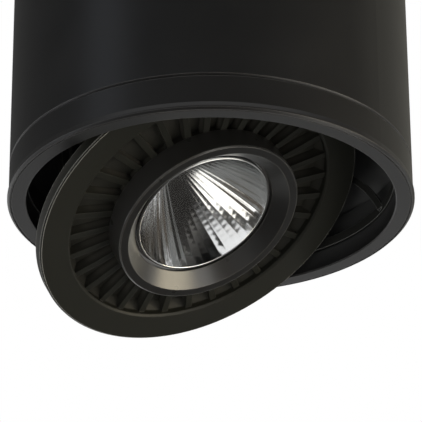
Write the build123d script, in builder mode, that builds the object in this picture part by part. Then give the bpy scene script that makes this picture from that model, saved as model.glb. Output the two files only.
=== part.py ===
from build123d import *

import os
from math import asin, cos, degrees, radians, sin, sqrt

os.makedirs("parts", exist_ok=True)

# A surface-mounted ceiling spotlight. The origin is the centre of the face that meets the ceiling,
# +Z is up, and the head is modelled leaning its beam towards +X, as photographed.

# Driving dimensions, in millimetres and degrees

housing_diameter = 120.0
housing_height = 115.0
housing_wall = 1.6
edge_break = 0.4

plate_thickness = 1.6
plate_gap = 0.8
ceiling_slot_spacing = 70.0
ceiling_slot_length = 12.0
ceiling_slot_width = 4.6
cable_bore_diameter = 9.0
grommet_wall = 2.0
grommet_rim = 1.6
grommet_taper = 0.6
grommet_height = 2.0

bracket_width = 14.0
bracket_foot = 10.0
bracket_drop = 14.0
side_screw_count = 3
side_screw_angle = 270.0
side_screw_diameter = 4.0
side_screw_drop = 9.0
side_screw_inset = 0.3
side_screw_stand_out = 1.5
side_screw_socket = 2.2
side_screw_socket_depth = 2.0

trim_height = 11.2
trim_face_width = 5.25
trim_flare = 0.4
trim_bevel = 0.6
trim_edge = 0.3
rim_groove_inset = 0.3
rim_groove_width = 0.4
rim_groove_depth = 0.3
lip_height = 1.0
lip_blend = 2.4
seam_gap = 0.2
shoulder_height = 6.0
spigot_height = 6.0
spigot_wall = 1.2

washer_thickness = 0.5
carrier_height = 3.0
carrier_width = 2.5
retainer_thickness = 1.0
retainer_width = 1.5
retainer_seat = 0.5
retainer_split = 10.0
stop_tooth_angle = 6.0
stop_pin_diameter = 1.2
stop_pin_reach = 0.9
stop_pin_cover = 1.3

rest_tilt = 30.3
max_tilt = 40.0
pivot_drop = 6.1
pivot_lead = 7.25

head_gap = 3.25
flange_width = 9.6
flange_thickness = 3.5
flange_chamfer = 0.6
flange_edge = 0.5
fin_count = 32
fin_thickness = 2.0
fin_recess = 1.6
fin_bite = 0.8
fin_tail = 4.8
pan_depth = 6.5
pan_taper = 2.0
pan_wall = 1.1
pan_floor = 1.4
core_wall = 2.6
core_floor = 3.0
core_back_step = 7.0
seat_depth = 26.7
base_thickness = 7.5

bezel_diameter = 58.0
bezel_lead = 6.3
bezel_edge = 2.8
bezel_lip = 1.2
bezel_spigot_wall = 1.1
bezel_spigot_height = 4.0
reflector_diameter = 43.0
reflector_lead = 2.1
reflector_wall = 0.8
reflector_middle_diameter = 28.0
reflector_neck_diameter = 10.0
reflector_groove = 0.8
collar_thickness = 0.9

led_board_side = 20.0
led_board_thickness = 1.2
led_spot_diameter = 9.0
led_spot_height = 0.5
pad_thickness = 0.4
holder_diameter = 43.0
holder_thickness = 3.2
holder_margin = 3.1
holder_screw_spacing = 32.0
lead_offset = 15.5
lead_hole_diameter = 6.0
lead_bore_diameter = 3.6
lead_grommet_depth = 4.0
lead_grommet_height = 1.5
lead_grommet_rim = 1.2

ear_thickness = 1.8
ear_end_angle = 5.0
guide_radius = 29.0
guide_width = 4.0
guide_margin = 2.6
guide_play_angle = 0.5
arch_width = 2.0
shoe_angle = 20.0
boss_width = 16.0
boss_height = 12.0
clamp_plate_thickness = 1.2
clamp_plate_margin = 2.0
clamp_plate_angle = 22.0
clamp_screw_angle = 13.0

driver_height = 22.0
driver_wall = 1.6
driver_corner = 2.0
driver_ear = 8.0
driver_ear_width = 12.0
driver_ear_thickness = 2.0
board_thickness = 1.6
board_lift = 4.0
transformer_length = 15.0
transformer_width = 13.0
transformer_height = 11.0
capacitor_diameter = 9.0
capacitor_height = 10.0
capacitor_inset = 12.0

terminal_length = 26.0
terminal_width = 14.0
terminal_height = 15.0
terminal_offset = 32.0
terminal_ways = 3
terminal_wire_diameter = 3.4
terminal_wire_drop = 5.0
terminal_screw_diameter = 3.8
terminal_screw_length = 4.8
terminal_screw_inset = 1.0
terminal_slot_width = 0.7
terminal_slot_depth = 0.8
terminal_fixing_depth = 3.0

screw_diameter = 3.0
screw_head_diameter = 5.5
screw_head_height = 1.8
earth_reach = 24.0
earth_washer_diameter = 7.5
earth_washer_thickness = 0.8

# Clearances between pieces, and how far a rib or boss is sunk into what it grows from

press_gap = 0.02
screw_gap = 0.05
guide_gap = 0.08
slip_gap = 0.1
board_gap = 0.4
running_gap = 0.3
screw_inset = 0.2
screw_tip_gap = 1.0
screw_tip_wall = 2.0
driver_grommet_gap = 2.9
driver_bracket_gap = 2.6
driver_end_gap = 3.2
root_overlap = 1.0

# Values worked out from the driving dimensions

housing_radius = housing_diameter / 2
housing_bore = housing_radius - housing_wall
rim_z = -housing_height
seam_z = rim_z + trim_height

plate_under = -plate_thickness
plate_radius = housing_bore - plate_gap
bracket_inner = plate_radius - plate_thickness
grommet_bore = cable_bore_diameter / 2
grommet_radius = grommet_bore + grommet_wall
grommet_lip = grommet_radius + grommet_rim
side_screw_radius = side_screw_diameter / 2

trim_bore = housing_radius - trim_face_width
lip_radius = housing_radius + trim_flare
rim_groove_outer = lip_radius - trim_bevel - rim_groove_inset
rim_groove_inner = rim_groove_outer - rim_groove_width
rim_groove_top = rim_z + rim_groove_depth
shoulder_z = rim_z + shoulder_height
spigot_radius = housing_bore - press_gap
spigot_bore = housing_bore - spigot_wall
spigot_top = seam_z + spigot_height
washer_top = shoulder_z + washer_thickness
carrier_bottom = washer_top + slip_gap
carrier_middle = carrier_bottom + carrier_height / 2
carrier_top = carrier_bottom + carrier_height
carrier_radius = spigot_bore - running_gap
carrier_bore = carrier_radius - carrier_width
retainer_bottom = carrier_top + running_gap
retainer_top = retainer_bottom + retainer_thickness
retainer_radius = spigot_bore + retainer_seat
retainer_bore = retainer_radius - retainer_width

flange_radius = trim_bore - head_gap
flange_bore = flange_radius - flange_width
bezel_radius = bezel_diameter / 2
reflector_radius = reflector_diameter / 2
neck_radius = reflector_neck_diameter / 2
core_bore = holder_diameter / 2 + holder_margin
core_radius = core_bore + core_wall
core_back_radius = core_radius - core_back_step
core_floor_back = seat_depth + core_floor
base_back = seat_depth + base_thickness

tilt = radians(rest_tilt)
pivot = Vector(0, 0, rim_z - pivot_drop)
head_up = Vector(-sin(tilt), 0, cos(tilt))
head_x = Vector(cos(tilt), 0, sin(tilt))
head = Plane(origin=pivot + head_up * pivot_lead, x_dir=head_x, z_dir=head_up)

# The ears stand on the carrier ring, where the arches over the curved slots meet it, just inside
# the retaining ring.
guide_inner = guide_radius - guide_width / 2
guide_outer = guide_radius + guide_width / 2
arch_inner = guide_outer + guide_margin
arch_outer = arch_inner + arch_width
arch_rise = carrier_middle - pivot.Z
arch_reach = sqrt(arch_outer**2 - arch_rise**2)
ear_outer = sqrt((retainer_bore - running_gap) ** 2 - arch_reach**2)
ear_middle = ear_outer - ear_thickness / 2
ear_inner = ear_outer - ear_thickness
boss_face = ear_inner - running_gap
shoe_face = ear_outer + running_gap
clamp_face = shoe_face + clamp_plate_thickness

# The head turns about a line a little in front of its flange, so every piece of it sweeps inside
# one ball around the middle of that line, and the fins end a little short of that ball.
sweep_radius = sqrt(flange_radius**2 + (pivot_lead + flange_thickness) ** 2)
fin_front_radius = flange_bore + fin_bite
fin_side_radius = ear_inner - 2 * running_gap
fin_back_radius = core_radius + fin_tail
fin_root_radius = core_radius - root_overlap
pan_radius = fin_side_radius - pan_taper
head_depth = sqrt((sweep_radius - 2 * running_gap) ** 2 - fin_back_radius**2) - pivot_lead

screw_radius = screw_diameter / 2
screw_hole = screw_radius + screw_gap
screw_head_radius = screw_head_diameter / 2

# The driver fills the room between the cable grommet, a side bracket and the tube.
driver_floor = plate_under - driver_height
driver_front = grommet_lip + driver_grommet_gap
driver_back = plate_radius - bracket_foot - driver_bracket_gap
driver_width = driver_back - driver_front
driver_offset = (driver_front + driver_back) / 2
driver_length = 2 * sqrt((housing_bore - driver_end_gap) ** 2 - driver_back**2)

both_sides = (("left", 1), ("right", -1))


# Helpers


def turn(outline, frame=Plane.XY, mode=Mode.ADD):
    """Revolve a closed outline of (radius, height) points about the frame's Z axis."""
    with BuildSketch(Plane(frame.origin, frame.x_dir, -frame.y_dir)) as half:
        with BuildLine():
            Polyline(*outline, close=True)
        make_face()
    revolve(half.sketch, axis=Axis(frame.origin, frame.z_dir), mode=mode)


def ring(inner, outer, bottom, top):
    """Corner points of a plain ring's section."""
    return [(inner, bottom), (outer, bottom), (outer, top), (inner, top)]


def arc_band(plane, inner, outer, middle, sweep):
    """A flat piece of a ring around the plane's origin; angles run from the plane's X axis."""
    with BuildSketch(plane) as band:
        with BuildLine():
            near = CenterArc((0, 0), inner, middle - sweep / 2, sweep)
            far = CenterArc((0, 0), outer, middle - sweep / 2, sweep)
            Line(near @ 0, far @ 0)
            Line(near @ 1, far @ 1)
        make_face()
    return band.sketch


def side_plane(up, across, side, offset):
    """A plane square to the tilt axis, its origin on that axis, at one side of the head."""
    return Plane(pivot + Vector(0, side * offset, 0), x_dir=across, z_dir=across.cross(up))


def head_side(side, offset):
    """A side plane that leans with the head."""
    return side_plane(head_up, head_x, side, offset)


def upright_side(side, offset):
    """A side plane that stands upright."""
    return side_plane(Vector(0, 0, 1), Vector(1, 0, 0), side, offset)


def ways_around(frame, count, first_angle):
    """Directions square to the frame's Z axis, evenly spread around it."""
    angles = [radians(first_angle + 360 / count * i) for i in range(count)]
    return [frame.x_dir * cos(angle) + frame.y_dir * sin(angle) for angle in angles]


def section_planes(frame, count, first_angle):
    """Planes through the frame's Z axis, in which points are (radius, height)."""
    ways = ways_around(frame, count, first_angle)
    return [Plane(frame.origin, way, way.cross(frame.z_dir)) for way in ways]


def side_screw_planes(radius):
    """Planes that look outwards along the side screws, at that radius."""
    ways = ways_around(Plane.XY, side_screw_count, side_screw_angle)
    return [Plane(way * radius + Vector(0, 0, -side_screw_drop), z_dir=way) for way in ways]


# Ceiling plate: a steel disc with slots for two ceiling screws and a hole for the cable

driver_ear_centre = driver_length / 2 + driver_ear / 2
driver_screw_points = [(x, -driver_offset) for x in (-driver_ear_centre, driver_ear_centre)]
terminal_point = (0, terminal_offset)
earth_point = (earth_reach, earth_reach)

with BuildPart() as ceiling_plate:
    with BuildSketch():
        Circle(plate_radius)
        Circle(grommet_radius, mode=Mode.SUBTRACT)
        with GridLocations(ceiling_slot_spacing, 0, 2, 1):
            SlotOverall(ceiling_slot_length, ceiling_slot_width, mode=Mode.SUBTRACT)
        with Locations(*driver_screw_points, terminal_point, earth_point):
            Circle(screw_hole, mode=Mode.SUBTRACT)
    extrude(amount=-plate_thickness)
ceiling_plate.part.label = "ceiling_plate"
export_step(ceiling_plate.part, "parts/ceiling_plate.step")

# Side brackets: steel angles welded under the plate, each tapped for a side screw

with BuildPart() as side_brackets:
    with BuildSketch(*section_planes(Plane.XY, side_screw_count, side_screw_angle)):
        with BuildLine():
            Polyline(
                (plate_radius - bracket_foot, plate_under),
                (plate_radius, plate_under),
                (plate_radius, -bracket_drop),
                (bracket_inner, -bracket_drop),
                (bracket_inner, plate_under - plate_thickness),
                (plate_radius - bracket_foot, plate_under - plate_thickness),
                close=True,
            )
        make_face()
    extrude(amount=bracket_width / 2, both=True)
    with BuildSketch(*side_screw_planes(0)):
        Circle(side_screw_radius + screw_gap)
    extrude(amount=housing_radius, mode=Mode.SUBTRACT)
side_brackets.part.label = "side_brackets"
export_step(side_brackets.part, "parts/side_brackets.step")

# Cable grommet: a rubber bush in the plate's centre hole, flush with the ceiling side

with BuildPart() as cable_grommet:
    turn(
        [
            (grommet_bore, 0),
            (grommet_radius - press_gap, 0),
            (grommet_radius - press_gap, plate_under),
            (grommet_lip, plate_under),
            (grommet_lip - grommet_taper, plate_under - grommet_height),
            (grommet_bore, plate_under - grommet_height),
        ]
    )
cable_grommet.part.label = "cable_grommet"
export_step(cable_grommet.part, "parts/cable_grommet.step")

# Housing tube: a plain aluminium tube that slides up over the ceiling plate

with BuildPart() as housing_tube:
    turn(
        [
            (housing_bore, seam_z),
            (housing_radius - edge_break, seam_z),
            (housing_radius, seam_z + edge_break),
            (housing_radius, -edge_break),
            (housing_radius - edge_break, 0),
            (housing_bore, 0),
        ]
    )
    with BuildSketch(*side_screw_planes(0)):
        Circle(side_screw_radius + screw_gap)
    extrude(amount=housing_diameter, mode=Mode.SUBTRACT)
housing_tube.part.label = "housing_tube"
export_step(housing_tube.part, "parts/housing_tube.step")

# Side screws: headless screws, just below the tube's face, threaded into the brackets

side_screw_start = bracket_inner - side_screw_stand_out
side_screw_end = housing_radius - side_screw_inset

with BuildPart() as side_screws:
    with BuildSketch(*side_screw_planes(side_screw_start)):
        Circle(side_screw_radius)
    extrude(amount=side_screw_end - side_screw_start)
    with BuildSketch(*side_screw_planes(side_screw_end)):
        RegularPolygon(side_screw_socket / 2, 6)
    extrude(amount=-side_screw_socket_depth, mode=Mode.SUBTRACT)
side_screws.part.label = "side_screws"
export_step(side_screws.part, "parts/side_screws.step")

# Trim ring: the rim below the seam, with a spigot pressed into the tube and a shoulder inside

stop_pin_tip = carrier_radius - stop_pin_reach
stop_pin_end = housing_radius - stop_pin_cover
stop_pin_plane = Plane((-stop_pin_end, 0, (carrier_bottom + carrier_middle) / 2), z_dir=(1, 0, 0))

with BuildPart() as trim_ring:
    turn(
        [
            (trim_bore, rim_z + trim_edge),
            (trim_bore + trim_edge, rim_z),
            (rim_groove_inner, rim_z),
            (rim_groove_inner, rim_groove_top),
            (rim_groove_outer, rim_groove_top),
            (rim_groove_outer, rim_z),
            (lip_radius - trim_bevel, rim_z),
            (lip_radius, rim_z + trim_bevel),
            (lip_radius, rim_z + lip_height),
            (housing_radius, rim_z + lip_blend),
            (housing_radius, seam_z - seam_gap - trim_edge),
            (housing_radius - trim_edge, seam_z - seam_gap),
            (spigot_radius, seam_z - seam_gap),
            (spigot_radius, spigot_top),
            (spigot_bore, spigot_top),
            (spigot_bore, retainer_top + screw_gap),
            (retainer_radius + screw_gap, retainer_top + screw_gap),
            (retainer_radius + screw_gap, retainer_bottom - screw_gap),
            (spigot_bore, retainer_bottom - screw_gap),
            (spigot_bore, shoulder_z),
            (trim_bore, shoulder_z),
        ]
    )
    with BuildSketch(stop_pin_plane):
        Circle(stop_pin_diameter / 2 + press_gap)
    extrude(amount=stop_pin_end - trim_bore, mode=Mode.SUBTRACT)
trim_ring.part.label = "trim_ring"
export_step(trim_ring.part, "parts/trim_ring.step")

# Stop pin: ends the swivel just short of a full turn

with BuildPart() as stop_pin:
    with BuildSketch(stop_pin_plane):
        Circle(stop_pin_diameter / 2)
    extrude(amount=stop_pin_end - stop_pin_tip)
stop_pin.part.label = "stop_pin"
export_step(stop_pin.part, "parts/stop_pin.step")

# Slip washer: the carrier turns on it

with BuildPart() as slip_washer:
    turn(ring(trim_bore + slip_gap, spigot_bore - slip_gap, shoulder_z, washer_top))
slip_washer.part.label = "slip_washer"
export_step(slip_washer.part, "parts/slip_washer.step")

# Retaining ring: a split spring ring in the spigot's groove, above the carrier

with BuildPart() as retaining_ring:
    turn(ring(retainer_bore, retainer_radius, retainer_bottom, retainer_top))
    with Locations((0, retainer_radius, retainer_bottom)):
        Box(retainer_split, 3 * retainer_width, 3 * retainer_thickness, mode=Mode.SUBTRACT)
retaining_ring.part.label = "retaining_ring"
export_step(retaining_ring.part, "parts/retaining_ring.step")

# Swivel carrier: a cast ring with two arched ears, each with a curved slot around the tilt axis

slot_sweep = shoe_angle + max_tilt + 2 * guide_play_angle
slot_middle = 90 + max_tilt / 2
ear_sweep = slot_sweep + 2 * ear_end_angle
arch_sweep = 180 - 2 * degrees(asin(arch_rise / arch_outer))
tooth_inner = stop_pin_tip - running_gap

with BuildPart() as swivel_carrier:
    turn(ring(carrier_bore, tooth_inner, carrier_bottom, carrier_middle))
    turn(ring(carrier_bore, carrier_radius, carrier_middle, carrier_top))
    tooth = arc_band(
        Plane.XY.offset(carrier_bottom),
        tooth_inner - root_overlap,
        carrier_radius,
        0,
        stop_tooth_angle,
    )
    extrude(tooth, amount=carrier_height / 2)
    for name, side in both_sides:
        ear = upright_side(side, ear_middle)
        plate = arc_band(ear, guide_inner - guide_margin, arch_outer, slot_middle, ear_sweep)
        extrude(plate, amount=ear_thickness / 2, both=True)
        arch = arc_band(ear, arch_inner, arch_outer, 90, arch_sweep)
        extrude(arch, amount=ear_thickness / 2, both=True)
        slot = arc_band(ear, guide_inner, guide_outer, slot_middle, slot_sweep)
        extrude(slot, amount=ear_thickness, both=True, mode=Mode.SUBTRACT)
swivel_carrier.part.label = "swivel_carrier"
export_step(swivel_carrier.part, "parts/swivel_carrier.step")

# Heat sink: flange ring, radial fins, a pan that closes the gaps between them and a cup for the
# light source, cast in one piece

seat = head.offset(seat_depth)
holder_screw_points = [(x, 0) for x in (-holder_screw_spacing / 2, holder_screw_spacing / 2)]
lead_point = (0, lead_offset)
lead_hole = lead_hole_diameter / 2
clamp_screw_depth = boss_face - core_radius
clamp_turns = [radians(90 + turn_by) for turn_by in (-clamp_screw_angle / 2, clamp_screw_angle / 2)]
clamp_points = [(guide_radius * cos(angle), guide_radius * sin(angle)) for angle in clamp_turns]

with BuildPart() as heat_sink:
    turn(
        [
            (flange_bore, flange_thickness),
            (flange_bore, flange_chamfer),
            (flange_bore + flange_chamfer, 0),
            (flange_radius - flange_edge, 0),
            (flange_radius, flange_edge),
            (flange_radius, flange_thickness),
        ],
        head,
    )
    turn(ring(core_bore, core_radius, fin_recess, head_depth), head)
    turn(
        [
            (0, seat_depth),
            (core_bore, seat_depth),
            (core_bore, seat_depth - root_overlap),
            (core_radius, seat_depth - root_overlap),
            (core_radius, core_floor_back),
            (core_back_radius, core_floor_back),
            (core_back_radius, base_back),
            (0, base_back),
        ],
        head,
    )
    turn(
        [
            (fin_side_radius - pan_wall, flange_thickness - root_overlap),
            (fin_side_radius, flange_thickness - root_overlap),
            (fin_side_radius, flange_thickness),
            (pan_radius, pan_depth),
            (fin_root_radius, pan_depth),
            (fin_root_radius, pan_depth - pan_floor),
            (pan_radius - pan_wall, pan_depth - pan_floor),
        ],
        head,
    )
    with BuildSketch(*section_planes(head, fin_count, 0)):
        with BuildLine():
            Polyline(
                (fin_root_radius, fin_recess),
                (flange_bore, fin_recess),
                (fin_front_radius, fin_recess + flange_chamfer),
                (fin_front_radius, flange_thickness),
                (fin_side_radius, flange_thickness),
                (fin_back_radius, head_depth),
                (fin_root_radius, head_depth),
                close=True,
            )
        make_face()
    extrude(amount=fin_thickness / 2, both=True)
    for name, side in both_sides:
        with BuildSketch(head_side(side, boss_face)):
            with Locations((0, guide_radius)):
                Rectangle(boss_width, boss_height)
        extrude(amount=side * (boss_face - fin_root_radius))
        with BuildSketch(head_side(side, boss_face)):
            with Locations(*clamp_points):
                Circle(screw_hole)
        extrude(amount=side * clamp_screw_depth, mode=Mode.SUBTRACT)
    with BuildSketch(seat):
        with Locations(*holder_screw_points):
            Circle(screw_hole)
    extrude(amount=base_thickness - screw_tip_wall, mode=Mode.SUBTRACT)
    with BuildSketch(seat):
        with Locations(lead_point):
            Circle(lead_hole)
    extrude(amount=base_thickness, mode=Mode.SUBTRACT)
heat_sink.part.label = "heat_sink"
export_step(heat_sink.part, "parts/heat_sink.step")

# Guide shoes: arc-shaped sliders on the head that run in the ears' curved slots

shoe_inner = guide_inner + guide_gap
shoe_outer = guide_outer - guide_gap
shoe_thickness = shoe_face - boss_face

for name, side in both_sides:
    with BuildPart() as guide_shoe:
        face = head_side(side, boss_face)
        outline = arc_band(face, shoe_inner, shoe_outer, 90, shoe_angle)
        extrude(outline, amount=-side * shoe_thickness)
        with BuildSketch(face):
            with Locations(*clamp_points):
                Circle(screw_hole)
        extrude(amount=-side * shoe_thickness, mode=Mode.SUBTRACT)
    guide_shoe.part.label = f"guide_shoe_{name}"
    export_step(guide_shoe.part, f"parts/guide_shoe_{name}.step")

# Clamp plates: spring steel plates outside the ears that hold the head by friction

clamp_inner = guide_inner - clamp_plate_margin
clamp_outer = guide_outer + clamp_plate_margin

for name, side in both_sides:
    with BuildPart() as clamp_plate:
        face = head_side(side, shoe_face)
        outline = arc_band(face, clamp_inner, clamp_outer, 90, clamp_plate_angle)
        extrude(outline, amount=-side * clamp_plate_thickness)
        with BuildSketch(face):
            with Locations(*clamp_points):
                Circle(screw_hole)
        extrude(amount=-side * clamp_plate_thickness, mode=Mode.SUBTRACT)
    clamp_plate.part.label = f"clamp_plate_{name}"
    export_step(clamp_plate.part, f"parts/clamp_plate_{name}.step")

# Clamp screws: two on each side, through plate and shoe into the heat sink

clamp_screw_length = clamp_face - boss_face + clamp_screw_depth - screw_tip_gap

with BuildPart() as clamp_screws:
    for name, side in both_sides:
        with BuildSketch(head_side(side, clamp_face)):
            with Locations(*clamp_points):
                Circle(screw_radius)
        extrude(amount=side * clamp_screw_length)
        with BuildSketch(head_side(side, clamp_face)):
            with Locations(*clamp_points):
                Circle(screw_head_radius)
        extrude(amount=-side * screw_head_height)
clamp_screws.part.label = "clamp_screws"
export_step(clamp_screws.part, "parts/clamp_screws.step")

# Thermal pad, LED board and phosphor disc, stacked on the heat sink's seat

board_back = seat_depth - pad_thickness
board_front = board_back - led_board_thickness

with BuildPart() as thermal_pad:
    with BuildSketch(seat):
        Rectangle(led_board_side, led_board_side)
    extrude(amount=-pad_thickness)
thermal_pad.part.label = "thermal_pad"
export_step(thermal_pad.part, "parts/thermal_pad.step")

with BuildPart() as led_board:
    with BuildSketch(head.offset(board_back)):
        Rectangle(led_board_side, led_board_side)
    extrude(amount=-led_board_thickness)
led_board.part.label = "led_board"
export_step(led_board.part, "parts/led_board.step")

with BuildPart() as led_phosphor:
    with BuildSketch(head.offset(board_front)):
        Circle(led_spot_diameter / 2)
    extrude(amount=-led_spot_height)
led_phosphor.part.label = "led_phosphor"
export_step(led_phosphor.part, "parts/led_phosphor.step")

# LED holder: a plastic frame that presses the board down and centres the reflector

holder_pocket = led_board_side + board_gap
holder_front = seat_depth - holder_thickness
holder_pocket_depth = seat_depth - board_front + slip_gap

with BuildPart() as led_holder:
    with BuildSketch(seat):
        Circle(holder_diameter / 2)
        with Locations(lead_point):
            Circle(lead_hole + board_gap, mode=Mode.SUBTRACT)
        with Locations(*holder_screw_points):
            Circle(screw_hole, mode=Mode.SUBTRACT)
    extrude(amount=-holder_thickness)
    with BuildSketch(seat):
        Rectangle(holder_pocket, holder_pocket)
    extrude(amount=-holder_pocket_depth, mode=Mode.SUBTRACT)
    with BuildSketch(seat):
        Circle(neck_radius)
    extrude(amount=-holder_thickness, mode=Mode.SUBTRACT)
led_holder.part.label = "led_holder"
export_step(led_holder.part, "parts/led_holder.step")

with BuildPart() as holder_screws:
    with BuildSketch(head.offset(holder_front)):
        with Locations(*holder_screw_points):
            Circle(screw_radius)
    extrude(amount=holder_thickness + base_thickness - screw_tip_wall - screw_tip_gap)
    with BuildSketch(head.offset(holder_front)):
        with Locations(*holder_screw_points):
            Circle(screw_head_radius)
    extrude(amount=-screw_head_height)
holder_screws.part.label = "holder_screws"
export_step(holder_screws.part, "parts/holder_screws.step")

# Lead grommet: a rubber bush in the back of the heat sink, where the LED's leads pass

lead_axis = Plane(head.from_local_coords(Vector(*lead_point, base_back)), head.x_dir, head.z_dir)
lead_bore = lead_bore_diameter / 2

with BuildPart() as lead_grommet:
    turn(
        [
            (lead_bore, -lead_grommet_depth),
            (lead_hole - press_gap, -lead_grommet_depth),
            (lead_hole - press_gap, 0),
            (lead_hole + lead_grommet_rim, 0),
            (lead_hole + lead_grommet_rim - edge_break, lead_grommet_height),
            (lead_bore, lead_grommet_height),
        ],
        lead_axis,
    )
lead_grommet.part.label = "lead_grommet"
export_step(lead_grommet.part, "parts/lead_grommet.step")

# Bezel: a ring with a flat front and a conical inside that stands proud of the flange

bezel_mouth = reflector_radius + reflector_groove
bezel_lip_front = -reflector_lead - screw_inset
bezel_lip_back = bezel_lip_front + bezel_lip
bezel_spigot = core_bore - slip_gap
bezel_spigot_bore = bezel_spigot - bezel_spigot_wall
bezel_spigot_end = fin_recess + bezel_spigot_height

with BuildPart() as bezel:
    turn(
        [
            (bezel_radius, fin_recess),
            (bezel_radius, edge_break - bezel_lead),
            (bezel_radius - edge_break, -bezel_lead),
            (bezel_radius - bezel_edge, -bezel_lead),
            (bezel_mouth, bezel_lip_front),
            (bezel_mouth, bezel_lip_back),
            (bezel_spigot_bore, bezel_lip_back),
            (bezel_spigot_bore, bezel_spigot_end),
            (bezel_spigot, bezel_spigot_end),
            (bezel_spigot, fin_recess),
        ],
        head,
    )
bezel.part.label = "bezel"
export_step(bezel.part, "parts/bezel.step")

# Reflector: a mirror bowl whose rim shows inside the bezel and whose neck sits around the LED

bowl_rim = reflector_radius - reflector_wall
bowl_middle = reflector_middle_diameter / 2
bowl_front = -reflector_lead
bowl_back = holder_front
middle_depth = (bowl_front + bowl_back) / 2
collar_inner = reflector_radius - reflector_wall
collar_outer = bezel_spigot_bore - slip_gap
collar_front = bezel_lip_back
collar_back = collar_front + collar_thickness

with BuildPart() as reflector:
    with BuildSketch(Plane(head.origin, head.x_dir, -head.y_dir)):
        with BuildLine():
            inside = ThreePointArc(
                (bowl_rim, bowl_front), (bowl_middle, middle_depth), (neck_radius, bowl_back)
            )
            outside = ThreePointArc(
                (reflector_radius, bowl_front),
                (bowl_middle + reflector_wall, middle_depth),
                (neck_radius + reflector_wall, bowl_back),
            )
            Line(inside @ 0, outside @ 0)
            Line(inside @ 1, outside @ 1)
        make_face()
    revolve(axis=Axis(head.origin, head.z_dir))
    turn(ring(collar_inner, collar_outer, collar_front, collar_back), head)
reflector.part.label = "reflector"
export_step(reflector.part, "parts/reflector.step")

# LED driver: a plastic case with screwed ears, a circuit board inside and a snap-in lid

board_top = driver_floor + driver_wall + board_lift
inner_length = driver_length - 2 * driver_wall
inner_width = driver_width - 2 * driver_wall
hang_down = (Align.CENTER, Align.CENTER, Align.MAX)
stand_up = (Align.CENTER, Align.CENTER, Align.MIN)

with BuildPart() as driver_case:
    with Locations((0, -driver_offset, plate_under)):
        Box(driver_length, driver_width, driver_height, align=hang_down)
    fillet(driver_case.edges().filter_by(Axis.Z), driver_corner)
    with Locations((0, -driver_offset, plate_under - driver_wall)):
        Box(inner_length, inner_width, driver_height, align=hang_down, mode=Mode.SUBTRACT)
    with BuildSketch(Plane.XY.offset(plate_under)):
        with Locations(*driver_screw_points):
            Rectangle(driver_ear + press_gap, driver_ear_width)
            Circle(screw_hole, mode=Mode.SUBTRACT)
    extrude(amount=-driver_ear_thickness)
driver_case.part.label = "driver_case"
export_step(driver_case.part, "parts/driver_case.step")

with BuildPart() as driver_lid:
    with Locations((0, -driver_offset, driver_floor)):
        Box(inner_length - 2 * press_gap, inner_width - 2 * press_gap, driver_wall, align=stand_up)
driver_lid.part.label = "driver_lid"
export_step(driver_lid.part, "parts/driver_lid.step")

board_length = inner_length - 2 * board_gap
board_width = inner_width - 2 * board_gap
capacitor_x = board_length / 2 - capacitor_inset

with BuildPart() as driver_board:
    with Locations((0, -driver_offset, board_top)):
        Box(board_length, board_width, board_thickness, align=hang_down)
        Box(transformer_length, transformer_width, transformer_height, align=stand_up)
    with Locations(*[(x, -driver_offset, board_top) for x in (-capacitor_x, capacitor_x)]):
        Cylinder(capacitor_diameter / 2, capacitor_height, align=stand_up)
driver_board.part.label = "driver_board"
export_step(driver_board.part, "parts/driver_board.step")

with BuildPart() as driver_screws:
    with BuildSketch(Plane.XY.offset(-screw_inset)):
        with Locations(*driver_screw_points):
            Circle(screw_radius)
    extrude(amount=screw_inset + plate_under - driver_ear_thickness)
    with BuildSketch(Plane.XY.offset(plate_under - driver_ear_thickness)):
        with Locations(*driver_screw_points):
            Circle(screw_head_radius)
    extrude(amount=-screw_head_height)
driver_screws.part.label = "driver_screws"
export_step(driver_screws.part, "parts/driver_screws.step")

# Terminal block: takes the supply wires, one screw for each way

terminal_floor = plate_under - terminal_height
terminal_screw_radius = terminal_screw_diameter / 2
terminal_screw_foot = terminal_floor + terminal_screw_inset
way_pitch = terminal_length / terminal_ways
way_x = [(i - (terminal_ways - 1) / 2) * way_pitch for i in range(terminal_ways)]
way_points = [(x, terminal_offset + terminal_width / 4) for x in way_x]
wire_face = Plane(
    (0, terminal_offset - terminal_width / 2, plate_under - terminal_wire_drop),
    z_dir=(0, -1, 0),
)

with BuildPart() as terminal_block:
    with Locations((0, terminal_offset, plate_under)):
        Box(terminal_length, terminal_width, terminal_height, align=hang_down)
    with BuildSketch(wire_face):
        with Locations(*[(x, 0) for x in way_x]):
            Circle(terminal_wire_diameter / 2)
    extrude(amount=-terminal_width, mode=Mode.SUBTRACT)
    with BuildSketch(Plane.XY.offset(terminal_floor)):
        with Locations(*way_points):
            Circle(terminal_screw_radius + screw_gap)
    extrude(amount=terminal_screw_inset + terminal_screw_length + screw_inset, mode=Mode.SUBTRACT)
    with BuildSketch(Plane.XY.offset(plate_under)):
        with Locations(terminal_point):
            Circle(screw_hole)
    extrude(amount=-terminal_fixing_depth, mode=Mode.SUBTRACT)
terminal_block.part.label = "terminal_block"
export_step(terminal_block.part, "parts/terminal_block.step")

with BuildPart() as terminal_screws:
    with BuildSketch(Plane.XY.offset(terminal_screw_foot)):
        with Locations(*way_points):
            Circle(terminal_screw_radius)
    extrude(amount=terminal_screw_length)
    with BuildSketch(Plane.XY.offset(terminal_screw_foot)):
        with Locations(*way_points):
            Rectangle(terminal_screw_diameter, terminal_slot_width)
    extrude(amount=terminal_slot_depth, mode=Mode.SUBTRACT)
terminal_screws.part.label = "terminal_screws"
export_step(terminal_screws.part, "parts/terminal_screws.step")

# Earth screw: the plate's earth connection, with its washer

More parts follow.
